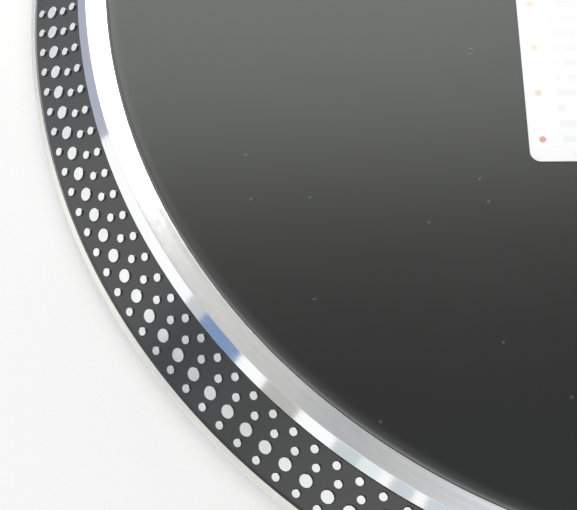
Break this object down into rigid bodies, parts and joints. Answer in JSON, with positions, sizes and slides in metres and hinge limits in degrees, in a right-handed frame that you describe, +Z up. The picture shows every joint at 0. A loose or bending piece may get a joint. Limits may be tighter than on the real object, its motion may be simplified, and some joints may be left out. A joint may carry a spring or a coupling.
{
  "type": "turntable record player",
  "caption": "Direct-drive turntable with a strobe-dotted platter, rubber mat, S-shaped tonearm, pitch fader and a pale plinth on turned feet.",
  "frame": {"origin": "on the floor under the middle of the plinth", "axes": "+X to the right seen from the front, +Y to the rear, +Z up"},
  "size_m": [0.453, 0.353, 0.1539],
  "materials": {
    "plinth_paint": "satin",
    "base_dark": "matte",
    "sheet_steel": "satin",
    "screw_steel": "satin",
    "foot_rubber": "matte",
    "bearing_steel": "satin",
    "bronze": "satin",
    "pad_plastic": "matte",
    "lamination": "matte",
    "copper_wire": "gloss",
    "board_green": "satin",
    "black_plastic": "satin",
    "brass_plate": "polished",
    "red_lens": "gloss",
    "platter_metal": "satin",
    "band_black": "gloss",
    "dot_metal": "satin",
    "mat_rubber": "matte",
    "card_paper": "matte",
    "magnet": "matte",
    "spindle_steel": "polished",
    "arm_metal": "satin",
    "arm_chrome": "polished",
    "weight_steel": "satin",
    "dial_black": "satin",
    "button_metal": "satin",
    "stylus_red": "gloss"
  },
  "bodies": {
    "plinth": {"top_casing": "plinth_paint", "base_tray": "base_dark", "bottom_plate": "sheet_steel", "casing_screws": "screw_steel", "bearing_housing": "bearing_steel", "bearing_bushes": "bronze", "thrust_pad": "pad_plastic", "stator_core": "lamination", "stator_coils": "copper_wire", "stator_board": "board_green", "main_board": "board_green", "power_transformer": "lamination", "terminal_panel": "black_plastic", "output_jacks": "brass_plate", "mains_inlet": "black_plastic", "strobe_housing": "arm_metal", "strobe_window": "red_lens", "button_switches": "black_plastic", "fader_plate": "dial_black", "fader_body": "sheet_steel", "arm_base": "arm_metal"},
    "platter": {"platter": "platter_metal", "strobe_band": "band_black", "strobe_dots_large": "dot_metal", "strobe_dots_small": "dot_metal", "platter_mat": "mat_rubber", "blank_card": "card_paper", "rotor_yoke": "sheet_steel", "rotor_magnet": "magnet", "spindle": "spindle_steel"},
    "start_stop": {"start_stop_button": "button_metal"},
    "speed_33": {"speed_33_button": "button_metal"},
    "speed_45": {"speed_45_button": "button_metal"},
    "power": {"power_knob": "dial_black"},
    "pitch": {"pitch_knob": "black_plastic"},
    "height_ring": {"arm_height_ring": "dial_black"},
    "carrier": {"arm_carrier": "arm_metal", "arm_bearings": "bearing_steel", "arm_rest": "black_plastic"},
    "clip": {"arm_clip": "black_plastic"},
    "lever": {"cue_lever": "arm_chrome"},
    "lift": {"cue_lift": "black_plastic"},
    "skate": {"anti_skate_knob": "dial_black"},
    "yoke": {"arm_yoke": "arm_metal", "pivot_screws": "bearing_steel"},
    "arm": {"arm_block": "arm_metal", "arm_tube": "arm_chrome", "counterweight_shaft": "arm_chrome", "headshell": "arm_metal", "cartridge_screws": "screw_steel", "cartridge": "black_plastic", "stylus": "stylus_red"},
    "weight_bush": {"counterweight_bush": "arm_metal"},
    "weight": {"counterweight": "weight_steel"},
    "dial": {"force_dial": "dial_black"},
    "collar": {"headshell_collar": "arm_chrome"},
    "foot_front_left": {"foot_front_left": "foot_rubber"},
    "foot_front_right": {"foot_front_right": "foot_rubber"},
    "foot_rear_left": {"foot_rear_left": "foot_rubber"},
    "foot_rear_right": {"foot_rear_right": "foot_rubber"}
  },
  "joints": [
    {"name": "platter_spin", "type": "hinge", "parent": "plinth", "child": "platter", "pos_m": [-0.0462, 0.0038, 0.11115], "axis": [0, 0, 1], "continuous": true},
    {"name": "start_stop_press", "type": "slide", "parent": "plinth", "child": "start_stop", "axis": [0, 0, -1], "range_m": [0, 0.0012], "stiffness_N_per_m": 300, "springref_m": -0.003},
    {"name": "speed_33_press", "type": "slide", "parent": "plinth", "child": "speed_33", "axis": [0, 0, -1], "range_m": [0, 0.0012], "stiffness_N_per_m": 300, "springref_m": -0.003},
    {"name": "speed_45_press", "type": "slide", "parent": "plinth", "child": "speed_45", "axis": [0, 0, -1], "range_m": [0, 0.0012], "stiffness_N_per_m": 300, "springref_m": -0.003},
    {"name": "power_turn", "type": "hinge", "parent": "plinth", "child": "power", "pos_m": [0.04774, -0.15696, 0.108], "axis": [0, 0, -1], "range_deg": [0, 60]},
    {"name": "pitch_slide", "type": "slide", "parent": "plinth", "child": "pitch", "axis": [0, 1, 0], "range_m": [-0.05, 0.05]},
    {"name": "arm_height_turn", "type": "hinge", "parent": "plinth", "child": "height_ring", "pos_m": [0.14975, 0.09228, 0.102], "axis": [0, 0, 1], "range_deg": [0, 120]},
    {"name": "arm_height", "type": "slide", "parent": "plinth", "child": "carrier", "axis": [0, 0, 1], "range_m": [0, 0.006]},
    {"name": "arm_swing", "type": "hinge", "parent": "carrier", "child": "yoke", "pos_m": [0.14975, 0.09228, 0.13375], "axis": [0, 0, -1], "range_deg": [0, 53]},
    {"name": "arm_tilt", "type": "hinge", "parent": "yoke", "child": "arm", "pos_m": [0.14975, 0.09228, 0.13375], "axis": [-1, 0, 0], "range_deg": [0, 5]},
    {"name": "counterweight_shift", "type": "slide", "parent": "arm", "child": "weight_bush", "axis": [0, 1, 0], "range_m": [-0.006, 0.006]},
    {"name": "counterweight_turn", "type": "hinge", "parent": "weight_bush", "child": "weight", "pos_m": [0.14975, 0.14028, 0.13375], "axis": [0, 1, 0], "range_deg": [-900, 900]},
    {"name": "force_dial_turn", "type": "hinge", "parent": "weight", "child": "dial", "pos_m": [0.14975, 0.12228, 0.13375], "axis": [0, 1, 0], "continuous": true},
    {"name": "headshell_lock", "type": "hinge", "parent": "arm", "child": "collar", "pos_m": [0.16848, -0.09137, 0.13375], "axis": [-0.3746, -0.9272, 0], "range_deg": [0, 40]},
    {"name": "cue_turn", "type": "hinge", "parent": "carrier", "child": "lever", "pos_m": [0.18375, 0.04228, 0.1214], "axis": [-1, 0, 0], "range_deg": [0, 50]},
    {"name": "cue_rise", "type": "slide", "parent": "carrier", "child": "lift", "axis": [0, 0, 1], "range_m": [0, 0.005]},
    {"name": "clip_swing", "type": "hinge", "parent": "carrier", "child": "clip", "pos_m": [0.15965, 0.03728, 0.13625], "axis": [0, -1, 0], "range_deg": [0, 95]},
    {"name": "anti_skate_turn", "type": "hinge", "parent": "carrier", "child": "skate", "pos_m": [0.17875, 0.07528, 0.1124], "axis": [0, 0, -1], "range_deg": [0, 270]},
    {"name": "foot_front_left_turn", "type": "hinge", "parent": "plinth", "child": "foot_front_left", "pos_m": [-0.1805, -0.1305, 0], "axis": [0, 0, 1], "range_deg": [-360, 360]},
    {"name": "foot_front_right_turn", "type": "hinge", "parent": "plinth", "child": "foot_front_right", "pos_m": [0.1805, -0.1305, 0], "axis": [0, 0, 1], "range_deg": [-360, 360]},
    {"name": "foot_rear_left_turn", "type": "hinge", "parent": "plinth", "child": "foot_rear_left", "pos_m": [-0.1805, 0.1305, 0], "axis": [0, 0, 1], "range_deg": [-360, 360]},
    {"name": "foot_rear_right_turn", "type": "hinge", "parent": "plinth", "child": "foot_rear_right", "pos_m": [0.1805, 0.1305, 0], "axis": [0, 0, 1], "range_deg": [-360, 360]}
  ],
  "couplings": [
    {"joint": "arm_height_turn", "follows": "arm_height", "rad_per_m": 349.07},
    {"joint": "cue_rise", "follows": "cue_turn", "m_per_rad": 0.0057296},
    {"joint": "counterweight_shift", "follows": "counterweight_turn", "m_per_rad": 0.00038197}
  ]
}
